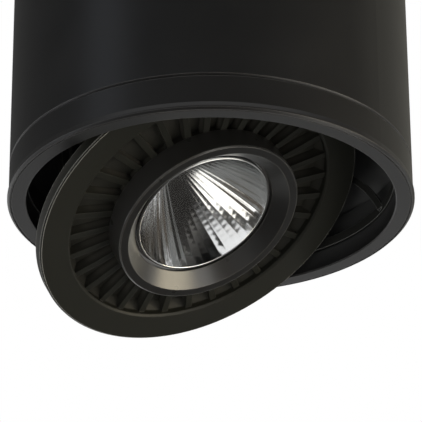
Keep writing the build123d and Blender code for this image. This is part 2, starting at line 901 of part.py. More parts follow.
with BuildPart() as earth_screw:
    with BuildSketch(Plane.XY.offset(-screw_inset)):
        with Locations(earth_point):
            Circle(screw_radius)
    extrude(amount=screw_inset + plate_under)
    with BuildSketch(Plane.XY.offset(plate_under)):
        with Locations(earth_point):
            Circle(earth_washer_diameter / 2)
    extrude(amount=-earth_washer_thickness)
    with BuildSketch(Plane.XY.offset(plate_under - earth_washer_thickness)):
        with Locations(earth_point):
            Circle(screw_head_radius)
    extrude(amount=-screw_head_height)
earth_screw.part.label = "earth_screw"
export_step(earth_screw.part, "parts/earth_screw.step")
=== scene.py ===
# %% [markdown]
# Looks for a black ceiling spotlight. The CAD model gives every solid and every joint. This lesson
# adds what CAD does not show: the fluted mirror, the finish of each piece and the studio around it.
# Lengths are in metres, and the origin is the middle of the face that meets the ceiling, as in CAD.

import math

import bmesh
import bpy
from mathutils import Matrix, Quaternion, Vector


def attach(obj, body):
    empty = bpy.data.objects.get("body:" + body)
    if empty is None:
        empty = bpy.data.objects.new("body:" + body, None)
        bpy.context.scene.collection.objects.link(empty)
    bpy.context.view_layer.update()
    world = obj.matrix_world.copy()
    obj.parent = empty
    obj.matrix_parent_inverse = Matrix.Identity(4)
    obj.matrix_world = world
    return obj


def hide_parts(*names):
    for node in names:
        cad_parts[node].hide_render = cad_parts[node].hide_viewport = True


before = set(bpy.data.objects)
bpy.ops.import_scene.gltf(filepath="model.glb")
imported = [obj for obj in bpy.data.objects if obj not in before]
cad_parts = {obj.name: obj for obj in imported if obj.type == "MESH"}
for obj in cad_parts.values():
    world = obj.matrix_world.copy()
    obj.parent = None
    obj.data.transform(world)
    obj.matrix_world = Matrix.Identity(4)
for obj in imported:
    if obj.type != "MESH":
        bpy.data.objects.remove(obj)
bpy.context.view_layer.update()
scene = bpy.context.scene
MM = 0.001

# %% [markdown]
# The camera. The picture was taken from below with a long lens, so the sides of the tube hardly
# converge. A camera can be placed by eye, by dragging it until edges line up, or worked out from
# ellipses. Here the rim's two ellipses gave it: 850 mm from the rim's centre and 26.9 degrees below.

# %% Camera
PHOTO_PIXELS = 422
LENS_PIXELS = 2864.7
SENSOR_MM = 36
RIM_Z = -115 * MM
EYE_DISTANCE = 850 * MM
AIM_BELOW_RIM = 1.5 * MM
AZIMUTH = math.radians(35.77)
ELEVATION = math.radians(-26.94)
ROLL = math.radians(-0.32)
NEAR_LIMIT = 0.05
FAR_LIMIT = 50

rim_centre = Vector((0, 0, RIM_Z))
to_right = Vector((math.cos(AZIMUTH), math.sin(AZIMUTH), 0))
to_front = Vector((math.sin(AZIMUTH), -math.cos(AZIMUTH), 0))
upward = Vector((0, 0, 1))
eye = rim_centre + (to_front * math.cos(ELEVATION) + upward * math.sin(ELEVATION)) * EYE_DISTANCE
aim = rim_centre - upward * AIM_BELOW_RIM

camera = bpy.data.objects.new("camera", bpy.data.cameras.new("camera"))
camera.data.sensor_width = SENSOR_MM
camera.data.lens = SENSOR_MM * LENS_PIXELS / PHOTO_PIXELS
camera.data.clip_start = NEAR_LIMIT
camera.data.clip_end = FAR_LIMIT
camera.location = eye
camera.rotation_mode = "QUATERNION"
level = (aim - eye).to_track_quat("-Z", "Y")
camera.rotation_quaternion = level @ Quaternion((0, 0, 1), ROLL)
scene.collection.objects.link(camera)
scene.camera = camera
print("camera at", [round(c, 3) for c in eye], "lens", round(camera.data.lens, 1), "mm")

# %% [markdown]
# Four small helpers. Colours are written as the eye sees them, in hex, and one function turns them
# to the linear values that a shader works with. The second adds a node, sets its fields and fills
# its inputs, by name or by number: with a value, a colour or another node's output. In a mix of
# colours, inputs 6 and 7 take the colours and output 2 gives the blend. The third starts an empty
# material and gives its tree and the point on the surface, in metres, that every pattern below is
# measured from. The last closes a material with the main shader.

# %% Helpers for materials
def linear(hex_code):
    """The linear colour, with alpha, of an sRGB hex code."""
    parts = [int(hex_code[i:i + 2], 16) / 255 for i in (1, 3, 5)]
    return [p / 12.92 if p <= 0.04045 else ((p + 0.055) / 1.055) ** 2.4 for p in parts] + [1.0]


def add(tree, kind, inputs=None, **fields):
    """Adds one node to a tree."""
    node = tree.nodes.new(kind)
    for name, value in fields.items():
        setattr(node, name, value)
    for name, value in (inputs or {}).items():
        if isinstance(value, bpy.types.NodeSocket):
            tree.links.new(value, node.inputs[name])
        else:
            node.inputs[name].default_value = value
    return node


def start_material(name):
    """An empty material: the material, its tree and the surface point."""
    material = bpy.data.materials.new(name)
    material.use_nodes = True
    tree = material.node_tree
    tree.nodes.clear()
    return material, tree, add(tree, "ShaderNodeTexCoord").outputs["Object"]


def end_material(tree, sockets):
    """Closes a material with the main shader."""
    skin = add(tree, "ShaderNodeBsdfPrincipled", sockets)
    add(tree, "ShaderNodeOutputMaterial", {"Surface": skin.outputs[0]})


print("white in linear values:", linear("#ffffff"))

# %% [markdown]
# The world. The picture has a plain white background, so a ray that leaves the scene straight from
# the camera, by way of a mirror or through glass meets white. The soft light that falls on the
# object is separate and lower, so black paint stays black.

# %% World
SOFT_LIGHT = 0.3


def shown_rays(tree):
    """One for rays that come straight from the camera, by way of a mirror or through glass."""
    path = add(tree, "ShaderNodeLightPath").outputs
    seen = add(tree, "ShaderNodeMath", {0: path["Is Camera Ray"], 1: path["Is Glossy Ray"]},
               operation="MAXIMUM")
    shown = add(tree, "ShaderNodeMath", {0: seen.outputs[0], 1: path["Is Transmission Ray"]},
                operation="MAXIMUM")
    return shown.outputs[0]


scene.view_settings.view_transform = "Standard"
world = bpy.data.worlds.new("white_studio")
scene.world = world
world.use_nodes = True
sky = world.node_tree
sky.nodes.clear()
soft = add(sky, "ShaderNodeBackground", {"Color": linear("#f4f6fa"), "Strength": SOFT_LIGHT})
white = add(sky, "ShaderNodeBackground", {"Color": linear("#ffffff"), "Strength": 1.0})
both = add(sky, "ShaderNodeMixShader", {0: shown_rays(sky), 1: soft.outputs[0], 2: white.outputs[0]})
add(sky, "ShaderNodeOutputWorld", {"Surface": both.outputs[0]})
print("world nodes:", len(sky.nodes))

# %% [markdown]
# The floor. A ceiling light hangs, so the floor is a room's height below it and no view from below
# is blocked. It is a plain pale paint with a faint unevenness. The lamps hardly reach it, so where it
# is seen it shows mostly its own colour, and only a part of it is lit and shaded.

# %% Floor
FLOOR_BELOW_CEILING = 2.4
FLOOR_RADIUS = 6
FLOOR_SIDES = 96
UNEVEN_WIDTH = 0.4
OWN_COLOUR_SHARE = 0.75


def flat_disc(radius, sides):
    """A flat, round sheet to make a piece from."""
    form = bmesh.new()
    bmesh.ops.create_circle(form, cap_ends=True, segments=sides, radius=radius)
    return form


def to_object(name, form):
    """Turns a finished form into an object of the scene."""
    mesh = bpy.data.meshes.new(name)
    form.to_mesh(mesh)
    form.free()
    piece = bpy.data.objects.new(name, mesh)
    scene.collection.objects.link(piece)
    return piece


floor_paint, tree, place = start_material("pale_floor_paint")
uneven = add(tree, "ShaderNodeTexNoise", {"Vector": place, "Scale": 1 / UNEVEN_WIDTH, "Detail": 3.0})
tone = add(tree, "ShaderNodeMix", {
    "Factor": uneven.outputs["Fac"], 6: linear("#e4e4e2"), 7: linear("#ececea")}, data_type="RGBA")
lit = add(tree, "ShaderNodeBsdfPrincipled", {"Base Color": tone.outputs[2], "Roughness": 0.7})
plain = add(tree, "ShaderNodeEmission", {"Color": tone.outputs[2]})
part = add(tree, "ShaderNodeMath", {0: shown_rays(tree), 1: OWN_COLOUR_SHARE}, operation="MULTIPLY")
both = add(tree, "ShaderNodeMixShader", {0: part.outputs[0], 1: lit.outputs[0], 2: plain.outputs[0]})
add(tree, "ShaderNodeOutputMaterial", {"Surface": both.outputs[0]})

floor = to_object("floor", flat_disc(FLOOR_RADIUS, FLOOR_SIDES))
floor.location.z = -FLOOR_BELOW_CEILING
floor.data.materials.append(floor_paint)
print("floor", FLOOR_BELOW_CEILING, "m below the ceiling face")

# %% [markdown]
# The grey drape. Black paint shows little of its own colour: the eye reads it by what it mirrors.
# In the picture the upright wall mirrors a dim room, and one side of the mirror shows something dark
# straight below and beside the camera. A photographer uses drapes and cards for that. Here one drape
# is a dome, open at the top, and a paler one covers the floor. Dark cards lie under the light and
# stand by the camera and low at the back; paler ones give the tube its faint streak and right edge.
# All are met by mirrored rays alone, so they neither show nor take light away. Things in the studio
# are placed by bearing and height from the object, which is how a photographer would describe them.

# %% Drapes
DRAPE_RADIUS = 5
DRAPE_LOW = 0.5
DRAPE_HIGH = 4.2
FOLD_WIDTH = 1.5
OVER_FLOOR = 0.02
DISC_SIDES = 64


def mirrored_only(name, form, dark, pale):
    """A stage piece that only shows in reflections."""
    cloth, tree, place = start_material(name + "_cloth")
    fold = add(tree, "ShaderNodeTexNoise", {"Vector": place, "Scale": 1 / FOLD_WIDTH, "Detail": 2.0})
    tone = add(tree, "ShaderNodeMix", {"Factor": fold.outputs["Fac"], 6: linear(dark), 7: linear(pale)},
               data_type="RGBA")
    glow = add(tree, "ShaderNodeEmission", {"Color": tone.outputs[2]})
    add(tree, "ShaderNodeOutputMaterial", {"Surface": glow.outputs[0]})
    piece = to_object(name, form)
    piece.data.materials.append(cloth)
    for ray in ("camera", "diffuse", "transmission", "volume_scatter", "shadow"):
        setattr(piece, "visible_" + ray, False)
    print(name, "faces:", len(piece.data.polygons))
    return piece


dome = bmesh.new()
bmesh.ops.create_uvsphere(dome, u_segments=64, v_segments=48, radius=DRAPE_RADIUS)
cut_off = [vert for vert in dome.verts if not DRAPE_LOW < vert.co.z < DRAPE_HIGH]
bmesh.ops.delete(dome, geom=cut_off, context="VERTS")
mirrored_only("drape", dome, "#565656", "#626260")

floor_drape = mirrored_only("floor_drape", flat_disc(FLOOR_RADIUS, DISC_SIDES), "#868684", "#8a8a88")
floor_drape.location.z = floor.location.z + OVER_FLOOR

# %% Cards
LOW_CARD_RADIUS = 0.7
LOW_CARD_BELOW_RIM = 0.8


def way_to(bearing, height):
    """The way to a thing in the studio: bearing from the camera's side to the right, in degrees."""
    turn = math.radians(bearing)
    rise = math.radians(height)
    flat = to_front * math.cos(turn) + to_right * math.sin(turn)
    return flat * math.cos(rise) + upward * math.sin(rise)


def standing_card(name, dark, pale, bearing, height, distance, size):
    """A flat card that stands in the studio and faces the light's rim."""
    form = bmesh.new()
    # A grid's size counts from its middle, so this one is a unit square.
    bmesh.ops.create_grid(form, x_segments=1, y_segments=1, size=0.5)
    card = mirrored_only(name, form, dark, pale)
    way = way_to(bearing, height)
    card.location = rim_centre + way * distance
    card.scale = (*size, 1)
    card.rotation_mode = "QUATERNION"
    card.rotation_quaternion = (-way).to_track_quat("Z", "Y")


low_card = mirrored_only("low_card", flat_disc(LOW_CARD_RADIUS, DISC_SIDES), "#302e2c", "#3c3a38")
low_card.location.z = RIM_Z - LOW_CARD_BELOW_RIM
standing_card("side_card", "#585049", "#6a635a", bearing=18, height=-12, distance=1.4, size=(0.55, 1.3))
standing_card("pale_card", "#b8bcc4", "#c4c8d0", bearing=-60, height=27, distance=1.4, size=(0.5, 1.1))
standing_card("back_card", "#302e2c", "#3c3a38", bearing=140, height=-43, distance=1.3, size=(0.55, 0.5))
standing_card("right_card", "#8a887f", "#929088", bearing=136, height=18, distance=1.4, size=(1.8, 1.5))

# %% [markdown]
# The lamps. The wide box in front, low and to the right, is what the bright side of the mirror
# shows. A warm, flat one above it makes the beige streak in the bezel's cone and the brown glow on
# the right of the tube. A small cool one stands low on the left and draws the bright line along the
# flange's edge. The fourth fills the pockets between the fins from low on the left. No surface
# mirrors it, because one more bright patch in the gloss would show at once.

# %% Lamps
LAMP_DISTANCE = 1.3


def soft_box(name, bearing, height, size, watts, colour, mirrored=True):
    """A soft box that looks at the light's rim. One that isn't mirrored only lights matt surfaces."""
    way = way_to(bearing, height)
    data = bpy.data.lights.new(name, "AREA")
    data.shape = "RECTANGLE"
    data.size, data.size_y = size
    data.energy = watts
    data.color = linear(colour)[:3]
    lamp = bpy.data.objects.new(name, data)
    lamp.location = rim_centre + way * LAMP_DISTANCE
    lamp.rotation_mode = "QUATERNION"
    lamp.rotation_quaternion = (-way).to_track_quat("-Z", "Y")
    lamp.visible_camera = False
    lamp.visible_glossy = mirrored
    scene.collection.objects.link(lamp)
    print(name, "at", [round(c, 2) for c in lamp.location])


soft_box("front_box", bearing=63, height=-34, size=(1.25, 0.8), watts=6.5, colour="#fffaf2")
soft_box("right_box", bearing=70, height=-2, size=(0.95, 0.45), watts=6.3, colour="#fff0cd")
soft_box("left_box", bearing=-87, height=-22, size=(0.3, 0.5), watts=1.6, colour="#f4f7ff")
soft_box("fill_box", bearing=-40, height=-42, size=(0.9, 0.9), watts=3.2, colour="#ffffff", mirrored=False)

# %% [markdown]
# The mirror. The real reflector is spun from thin aluminium, pressed into shallow flutes and bright
# anodised. A plain lathe would give a smooth bowl, and a bump map would leave the reflections too
# tame, so the flutes are modelled: each ring of points follows the bowl's arc and bulges inwards
# between fine creases. Small pillows along each flute, deeper at the neck, break the reflections up
# as in the picture, and the front edge is rolled into a fine bead that catches every lamp. Bowl and
# head tilt together, so its points are counted in the head's own directions.

# %% Mirror: the head's own directions
TILT = math.radians(30.3)
TILT_LINE_BELOW_RIM = 6.1 * MM
FACE_BEHIND_LINE = 7.25 * MM
head_x = Vector((math.cos(TILT), 0, math.sin(TILT)))
head_y = Vector((0, 1, 0))
head_up = Vector((-math.sin(TILT), 0, math.cos(TILT)))
head_origin = rim_centre - upward * TILT_LINE_BELOW_RIM + head_up * FACE_BEHIND_LINE


def head_point(radius, angle, depth):
    """A point of the head, in mm and radians: depth counts from the flange's face, backwards."""
    flat = head_x * math.cos(angle) + head_y * math.sin(angle)
    return head_origin + (flat * radius + head_up * depth) * MM


print("middle of the flange's face:", [round(c / MM, 1) for c in head_origin])

# %% Mirror: the bowl's arc
# Radius and depth of three points on the bowl, and the thickness of its wall, in mm, as in CAD.
MOUTH = (20.7, -2.1)
MIDDLE = (14.0, 10.7)
NECK = (5.0, 23.5)
WALL = 0.8
BOWL_ROWS = 72
BACK_ROWS = 36


def arc_through(first, second, third, count):
    """Evenly turned (radius, depth) points on the circle through three points."""
    (x1, y1), (x2, y2), (x3, y3) = first, second, third
    square1 = x1 * x1 + y1 * y1
    square2 = x2 * x2 + y2 * y2
    square3 = x3 * x3 + y3 * y3
    divisor = 2 * (x1 * (y2 - y3) + x2 * (y3 - y1) + x3 * (y1 - y2))
    middle_x = (square1 * (y2 - y3) + square2 * (y3 - y1) + square3 * (y1 - y2)) / divisor
    middle_y = (square1 * (x3 - x2) + square2 * (x1 - x3) + square3 * (x2 - x1)) / divisor
    radius = math.hypot(x1 - middle_x, y1 - middle_y)
    start = math.atan2(y1 - middle_y, x1 - middle_x)
    end = math.atan2(y3 - middle_y, x3 - middle_x)
    turns = [start + (end - start) * i / count for i in range(count + 1)]
    return [(middle_x + radius * math.cos(t), middle_y + radius * math.sin(t)) for t in turns]


bowl = arc_through(MOUTH, MIDDLE, NECK, BOWL_ROWS)
behind = [(radius + WALL, depth) for radius, depth in (MOUTH, MIDDLE, NECK)]
back = arc_through(*behind, BACK_ROWS)
print("bowl arc from", [round(c, 1) for c in bowl[0]], "to", [round(c, 1) for c in bowl[-1]])

# %% Mirror: bead, back and collar
# Radii and depths are in mm.
BEAD = 0.25
BEAD_STEPS = 16
COLLAR_RADIUS = 23.3
COLLAR_FRONT = -1.1
COLLAR_BACK = -0.2
COLLAR_SINKS_IN = 0.2

mouth_radius, mouth_depth = MOUTH
outline = []
for step in range(1, BEAD_STEPS + 1):
    turn = math.pi * step / BEAD_STEPS
    outline.append((mouth_radius + BEAD * (1 - math.cos(turn)), mouth_depth - BEAD * math.sin(turn)))
outline += [point for point in back if point[1] < COLLAR_FRONT]
outline.append((mouth_radius + WALL - COLLAR_SINKS_IN, COLLAR_FRONT))
outline.append((COLLAR_RADIUS, COLLAR_FRONT))
outline.append((COLLAR_RADIUS, COLLAR_BACK))
outline += [point for point in back if point[1] > COLLAR_BACK]
print("points from the bead round the collar to the neck:", len(outline))

# %% Mirror: flutes and pillows
# Depths are in mm. Flutes fade out over the last part of the arc, and the first one starts at an angle.
FLUTES = 48
STEPS_PER_FLUTE = 10
FLUTE_DEPTH = 0.07
PILLOWS = 16
PILLOW_AT_NECK = 0.032
PILLOW_AT_MOUTH = 0.006
FADE_AT_MOUTH = 1 / 12
FIRST_FLUTE = 0.04
CREASE = math.radians(14)

around = FLUTES * STEPS_PER_FLUTE
turns = [2 * math.pi * i / around + FIRST_FLUTE for i in range(around)]
bulges = [abs(math.sin(math.pi * i / STEPS_PER_FLUTE)) for i in range(around)]
shell = bmesh.new()
rings = []
for row, (radius, depth) in enumerate(reversed(bowl)):
    along = row / BOWL_ROWS
    fade = min(1, (1 - along) / FADE_AT_MOUTH)
    pillow = PILLOW_AT_NECK + (PILLOW_AT_MOUTH - PILLOW_AT_NECK) * along
    inward = (FLUTE_DEPTH + pillow * abs(math.sin(math.pi * PILLOWS * along))) * fade
    share = inward * radius / mouth_radius
    points = [head_point(radius - share * bulge, turn, depth) for bulge, turn in zip(bulges, turns)]
    rings.append([shell.verts.new(point) for point in points])
for radius, depth in outline:
    rings.append([shell.verts.new(head_point(radius, turn, depth)) for turn in turns])
rings.append(rings[0])
for near, far in zip(rings, rings[1:]):
    for i in range(around):
        j = (i + 1) % around
        shell.faces.new((near[i], near[j], far[j], far[i]))
bmesh.ops.recalc_face_normals(shell, faces=shell.faces)

fluted_mirror = to_object("fluted_mirror", shell)
fluted_mirror.data.shade_smooth()
fluted_mirror.data.set_sharp_from_angle(angle=CREASE)
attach(fluted_mirror, "head")
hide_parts("reflector")
print("fluted mirror faces:", len(fluted_mirror.data.polygons))

# %% [markdown]
# Powder coat. The tube and the trim ring are aluminium with a satin black powder coat. Powder melts
# into a skin with a faint orange peel about a millimetre wide, which softens the edges of whatever
# it mirrors. It could be one noise bump; here a second, wider noise also varies the gloss, as an
# oven does. Within the tube, up from the rim, the coat is painted a paler grey: painted fill light
# where little light reaches. A bevel node finds the edges, where a coat is thinner: it rounds them
# off, and the rounded direction is compared with the face's own. The edges are painted paler, partly
# for the thinner coat and partly as a painted highlight.

# %% Powder coat
COAT_EDGE = 0.25 * MM
EDGE_BEGINS = 0.995
EDGE_IS_FULL = 0.9
PAINTED_LIGHT_RISES_OVER = 9 * MM
INSIDE_BLEND_MM = 0.3


def rounded_edge(tree, width):
    """The surface's direction with its edges rounded, and how well it agrees with the face's own."""
    edge = add(tree, "ShaderNodeBevel", {"Radius": width}, samples=4).outputs[0]
    true_way = add(tree, "ShaderNodeNewGeometry").outputs["True Normal"]
    same = add(tree, "ShaderNodeVectorMath", {0: edge, 1: true_way}, operation="DOT_PRODUCT")
    return edge, same.outputs["Value"]


def powder_coat(name, colour, painted_light_inside, inside_mm):
    """Satin black coat with painted fill light: paler within inside_mm of its axis, above the rim."""
    material, tree, place = start_material(name)
    peel = add(tree, "ShaderNodeTexNoise", {"Vector": place, "Scale": 1 / (1.1 * MM), "Detail": 2.0})
    cloud = add(tree, "ShaderNodeTexNoise", {"Vector": place, "Scale": 1 / (18 * MM), "Detail": 3.0})
    flat = add(tree, "ShaderNodeVectorMath", {0: place, 1: (1, 1, 0)}, operation="MULTIPLY")
    reach = add(tree, "ShaderNodeVectorMath", {0: flat.outputs[0]}, operation="LENGTH")
    # Painted fill light: within inside_mm of the axis the colour turns paler, rising over the first
    # millimetres above the rim.
    inner = add(tree, "ShaderNodeMapRange", {
        "Value": reach.outputs["Value"],
        "From Min": (inside_mm + INSIDE_BLEND_MM) * MM, "From Max": (inside_mm - INSIDE_BLEND_MM) * MM})
    height = add(tree, "ShaderNodeSeparateXYZ", {0: place})
    above = add(tree, "ShaderNodeMapRange", {
        "Value": height.outputs["Z"], "From Min": RIM_Z, "From Max": RIM_Z + PAINTED_LIGHT_RISES_OVER})
    painted_light_inside_mask = add(tree, "ShaderNodeMath", {0: inner.outputs[0], 1: above.outputs[0]}, operation="MULTIPLY")
    coat = add(tree, "ShaderNodeMix", {
        "Factor": cloud.outputs["Fac"], 6: linear(colour), 7: linear("#191919")}, data_type="RGBA")
    shade = add(tree, "ShaderNodeMix", {
        "Factor": painted_light_inside_mask.outputs[0], 6: coat.outputs[2], 7: linear(painted_light_inside)}, data_type="RGBA")
    gloss = add(tree, "ShaderNodeMapRange", {"Value": cloud.outputs["Fac"], "To Min": 0.3, "To Max": 0.4})
    edge, same = rounded_edge(tree, COAT_EDGE)
    paler_painted_light = add(tree, "ShaderNodeMapRange", {
        "Value": same, "From Min": EDGE_BEGINS, "From Max": EDGE_IS_FULL})
    # Painted highlight along the edges, together with a thinner coat there.
    worn_and_highlit = add(tree, "ShaderNodeMix", {
        "Factor": paler_painted_light.outputs[0], 6: shade.outputs[2], 7: linear("#5a5856")}, data_type="RGBA")
    relief = add(tree, "ShaderNodeBump", {
        "Strength": 0.12, "Distance": 0.05 * MM, "Height": peel.outputs["Fac"], "Normal": edge})
    end_material(tree, {"Base Color": worn_and_highlit.outputs[2], "Roughness": gloss.outputs[0], "IOR": 1.5,
                        "Normal": relief.outputs[0]})
    return material


# The colour given for the tube's inner wall is painted fill light, paler than the coat.
tube_coat = powder_coat("satin_powder_coat_tube", "#0d0d0e", painted_light_inside="#6c6c6b", inside_mm=59.0)
trim_coat = powder_coat("satin_powder_coat_trim", "#121111", painted_light_inside="#464645", inside_mm=58.0)
print("powder coat:", tube_coat.name, trim_coat.name)

# %% [markdown]
# Casting paint. The heat sink and the swivel carrier are die castings with a matt black paint. The
# casting's skin shows through as a sandy grain of about half a millimetre. The edges of fins and
# flange are paler, partly for thinner paint and partly as a painted highlight. The fins' walls are
# painted greyer than the tops, most of all near the neck, and the pocket floors a little greyer too:
# painted fill light where little light reaches. The flange's outer edge is painted pale: a painted
# highlight.

# %% Casting paint: where the painted fill light goes
# Depths are behind the flange's face, and distances are from the head's axis.
WALLS_BEGIN = 1.8 * MM
WALLS_FULL_PAINTED_LIGHT = 3.4 * MM
WALLS_END = 4.4 * MM
POCKET_FLOOR = 5 * MM
NECK_SIDE = 35.5 * MM
FLANGE_SIDE = 38 * MM
PAINTED_LIGHT_ON_FLOOR = 0.4
PAINTED_LIGHT_AT_FLANGE = 0.4


def head_measures(tree, place):
    """A point's depth behind the flange's face and its distance from the head's axis."""
    from_face = add(tree, "ShaderNodeVectorMath", {0: place, 1: tuple(head_origin)}, operation="SUBTRACT")
    depth = add(tree, "ShaderNodeVectorMath", {0: from_face.outputs[0], 1: tuple(head_up)},
                operation="DOT_PRODUCT").outputs["Value"]
    along_axis = add(tree, "ShaderNodeVectorMath", {0: tuple(head_up), "Scale": depth}, operation="SCALE")
    flat = add(tree, "ShaderNodeVectorMath", {0: from_face.outputs[0], 1: along_axis.outputs[0]},
               operation="SUBTRACT")
    reach = add(tree, "ShaderNodeVectorMath", {0: flat.outputs[0]}, operation="LENGTH")
    return depth, reach.outputs["Value"]


def painted_pocket_light(tree, depth, reach):
    """How much painted fill light: one low on the fins' walls by the neck, and zero on the flange."""
    walls = add(tree, "ShaderNodeMapRange", {
        "Value": depth, "From Min": WALLS_BEGIN, "From Max": WALLS_FULL_PAINTED_LIGHT})
    pocket = add(tree, "ShaderNodeMapRange", {
        "Value": depth, "From Min": WALLS_END, "From Max": POCKET_FLOOR,
        "To Min": 1.0, "To Max": PAINTED_LIGHT_ON_FLOOR})
    by_neck = add(tree, "ShaderNodeMapRange", {
        "Value": reach, "From Min": NECK_SIDE, "From Max": FLANGE_SIDE,
        "To Min": 1.0, "To Max": PAINTED_LIGHT_AT_FLANGE})
    low = add(tree, "ShaderNodeMath", {0: walls.outputs[0], 1: pocket.outputs[0]}, operation="MULTIPLY")
    paler_painted_light = add(tree, "ShaderNodeMath", {0: low.outputs[0], 1: by_neck.outputs[0]}, operation="MULTIPLY")
    return paler_painted_light.outputs[0]


# Printed: the depths where the painted fill light on the fins' walls is fullest.
print("spray is thinnest from", WALLS_FULL_PAINTED_LIGHT / MM, "to", WALLS_END / MM, "mm behind the flange's face")

# %% Casting paint
CASTING_EDGE = 0.35 * MM
EDGE_WEAR_AND_HIGHLIGHT_FULL = 0.75
EDGE_WEAR_AND_HIGHLIGHT_SHARE = 0.7
EDGE_HIGHLIGHT_FULL = 0.95
HIGHLIGHT_BLEND_MM = 0.4
SKIN_GLOSS_SPREAD = 0.06


def casting_paint(name, colour, worn_and_highlit, paler_painted_light, roughness, highlight_from_mm):
    """Matt paint over a sandy casting: edges paler, partly from thinner paint and partly as a painted
    highlight, painted fill light in the pockets, and a pale painted highlight on edges far from the head's
    axis.
    """
    material, tree, place = start_material(name)
    sand = add(tree, "ShaderNodeTexNoise", {"Vector": place, "Scale": 1 / (0.55 * MM), "Detail": 4.0})
    cloud = add(tree, "ShaderNodeTexNoise", {"Vector": place, "Scale": 1 / (9 * MM), "Detail": 2.0})
    depth, reach = head_measures(tree, place)
    edge, same = rounded_edge(tree, CASTING_EDGE)
    # Edges paler: partly thinner paint, partly a painted highlight.
    wear_and_highlight = add(tree, "ShaderNodeMapRange", {
        "Value": same, "From Min": 1.0, "From Max": EDGE_WEAR_AND_HIGHLIGHT_FULL, "To Max": EDGE_WEAR_AND_HIGHLIGHT_SHARE})
    # Painted highlight: edges beyond the given distance from the head's axis, the flange's outer edge, are
    # painted pale.
    highlight_edge = add(tree, "ShaderNodeMapRange", {
        "Value": same, "From Min": EDGE_BEGINS, "From Max": EDGE_HIGHLIGHT_FULL})
    highlight_zone = add(tree, "ShaderNodeMapRange", {
        "Value": reach, "From Min": highlight_from_mm * MM, "From Max": (highlight_from_mm + HIGHLIGHT_BLEND_MM) * MM})
    painted_edge_highlight = add(tree, "ShaderNodeMath", {0: highlight_zone.outputs[0], 1: highlight_edge.outputs[0]}, operation="MULTIPLY")
    grain = add(tree, "ShaderNodeMix", {
        "Factor": sand.outputs["Fac"], 6: linear(colour), 7: linear("#272722")}, data_type="RGBA")
    # Painted fill light: the fins' walls and pocket floors are painted paler.
    with_painted_fill = add(tree, "ShaderNodeMix", {
        "Factor": painted_pocket_light(tree, depth, reach), 6: grain.outputs[2], 7: linear(paler_painted_light)}, data_type="RGBA")
    edged = add(tree, "ShaderNodeMix", {
        "Factor": wear_and_highlight.outputs[0], 6: with_painted_fill.outputs[2], 7: linear(worn_and_highlit)}, data_type="RGBA")
    shade = add(tree, "ShaderNodeMix", {
        "Factor": painted_edge_highlight.outputs[0], 6: edged.outputs[2], 7: linear("#b4b2aa")}, data_type="RGBA")
    gloss = add(tree, "ShaderNodeMapRange", {
        "Value": cloud.outputs["Fac"],
        "To Min": roughness - SKIN_GLOSS_SPREAD, "To Max": roughness + SKIN_GLOSS_SPREAD})
    relief = add(tree, "ShaderNodeBump", {
        "Strength": 0.2, "Distance": 0.06 * MM, "Height": sand.outputs["Fac"], "Normal": edge})
    end_material(tree, {"Base Color": shade.outputs[2], "Roughness": gloss.outputs[0], "IOR": 1.45,
                        "Specular IOR Level": 0.25, "Normal": relief.outputs[0]})
    return material


# After the base colour comes the edge colour: partly thinner paint and partly a painted highlight, and on
# the carrier, much paler, a painted highlight alone. Then comes the painted fill light for the fins' walls
# and pockets.
head_paint = casting_paint("matt_paint_head_casting", "#22221d", worn_and_highlit="#403e37", paler_painted_light="#4a4842",
                           roughness=0.42, highlight_from_mm=50.6)
# The pale painted highlight on the outermost edges begins beyond the carrier, so the carrier gets none.
carrier_paint = casting_paint("matt_paint_carrier_casting", "#2c2c2b", worn_and_highlit="#b0b0ac", paler_painted_light="#3a3a39",
                              roughness=0.5, highlight_from_mm=70.0)
print("casting paint:", head_paint.name, carrier_paint.name)

# %% [markdown]
# Semi-gloss paint. The bezel is turned aluminium with a black paint under a clear lacquer. Paint and
# lacquer each mirror a little, so together they show lamps about twice as bright as the powder coat
# does. Faint turning rings stay visible as a very fine relief, square to the head's axis, and
# stretch the warm lamp's reflection into the beige streak in the cone. The outer wall, down among
# the fins, is painted greyer: painted fill light where little light reaches. The edges are paler,
# partly as thinner paint and partly as a painted highlight.

# %% Bezel finish
# Real turning marks are about 0.1 mm apart; they are drawn 0.4 mm apart, so that they show.
TURNING_MARKS = 0.4 * MM
BEZEL_EDGE = 0.3 * MM
OUTER_WALL_BEGINS = 28.4 * MM
OUTER_WALL = 28.9 * MM

bezel_finish, tree, place = start_material("lacquered_semi_gloss_paint")
cloud = add(tree, "ShaderNodeTexNoise", {"Vector": place, "Scale": 1 / (6 * MM), "Detail": 3.0})
depth, reach = head_measures(tree, place)
count = add(tree, "ShaderNodeMath", {0: depth, 1: 2 * math.pi / TURNING_MARKS}, operation="MULTIPLY")
marks = add(tree, "ShaderNodeMath", {0: count.outputs[0]}, operation="SINE")
shade = add(tree, "ShaderNodeMix", {
    "Factor": cloud.outputs["Fac"], 6: linear("#121211"), 7: linear("#1b1a19")}, data_type="RGBA")
gloss = add(tree, "ShaderNodeMapRange", {"Value": cloud.outputs["Fac"], "To Min": 0.24, "To Max": 0.34})
edge, same = rounded_edge(tree, BEZEL_EDGE)
paler_painted_light = add(tree, "ShaderNodeMapRange", {"Value": same, "From Min": EDGE_BEGINS, "From Max": EDGE_IS_FULL})
# Painted fill light: the outer wall is painted greyer than the face.
outside = add(tree, "ShaderNodeMapRange", {
    "Value": reach, "From Min": OUTER_WALL_BEGINS, "From Max": OUTER_WALL})
with_painted_fill = add(tree, "ShaderNodeMix", {
    "Factor": outside.outputs[0], 6: shade.outputs[2], 7: linear("#2d2c2a")}, data_type="RGBA")
